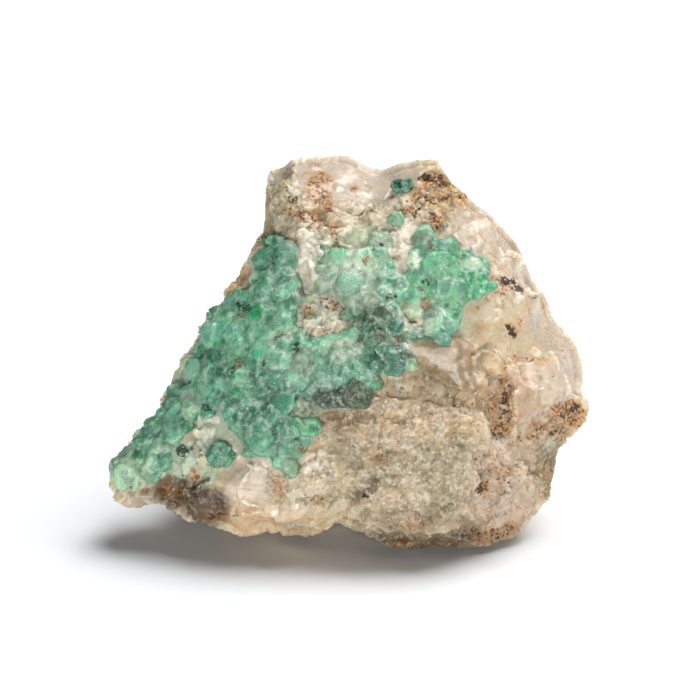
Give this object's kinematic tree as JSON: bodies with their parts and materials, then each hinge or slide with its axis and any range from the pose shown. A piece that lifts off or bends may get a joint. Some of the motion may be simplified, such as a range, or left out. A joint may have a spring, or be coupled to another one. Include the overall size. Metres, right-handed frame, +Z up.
{
  "type": "emerald in matrix",
  "caption": "Broken lump of pale quartz and feldspar with a vein of green emerald grains across its leaning front, standing on a flat break.",
  "frame": {"origin": "on the table, under the middle of the stone's overall box", "axes": "+Z up, -Y towards the front, where the vein is seen, +X to the right as the front is seen"},
  "size_m": [0.06, 0.0423, 0.0445],
  "materials": {
    "matrix": "matte",
    "emerald": "gloss"
  },
  "bodies": {
    "root": {"matrix": "matrix", "emerald_crust": "emerald", "emerald_hexagon": "emerald", "emerald_top": "emerald", "emerald_pale": "emerald"}
  },
  "joints": []
}
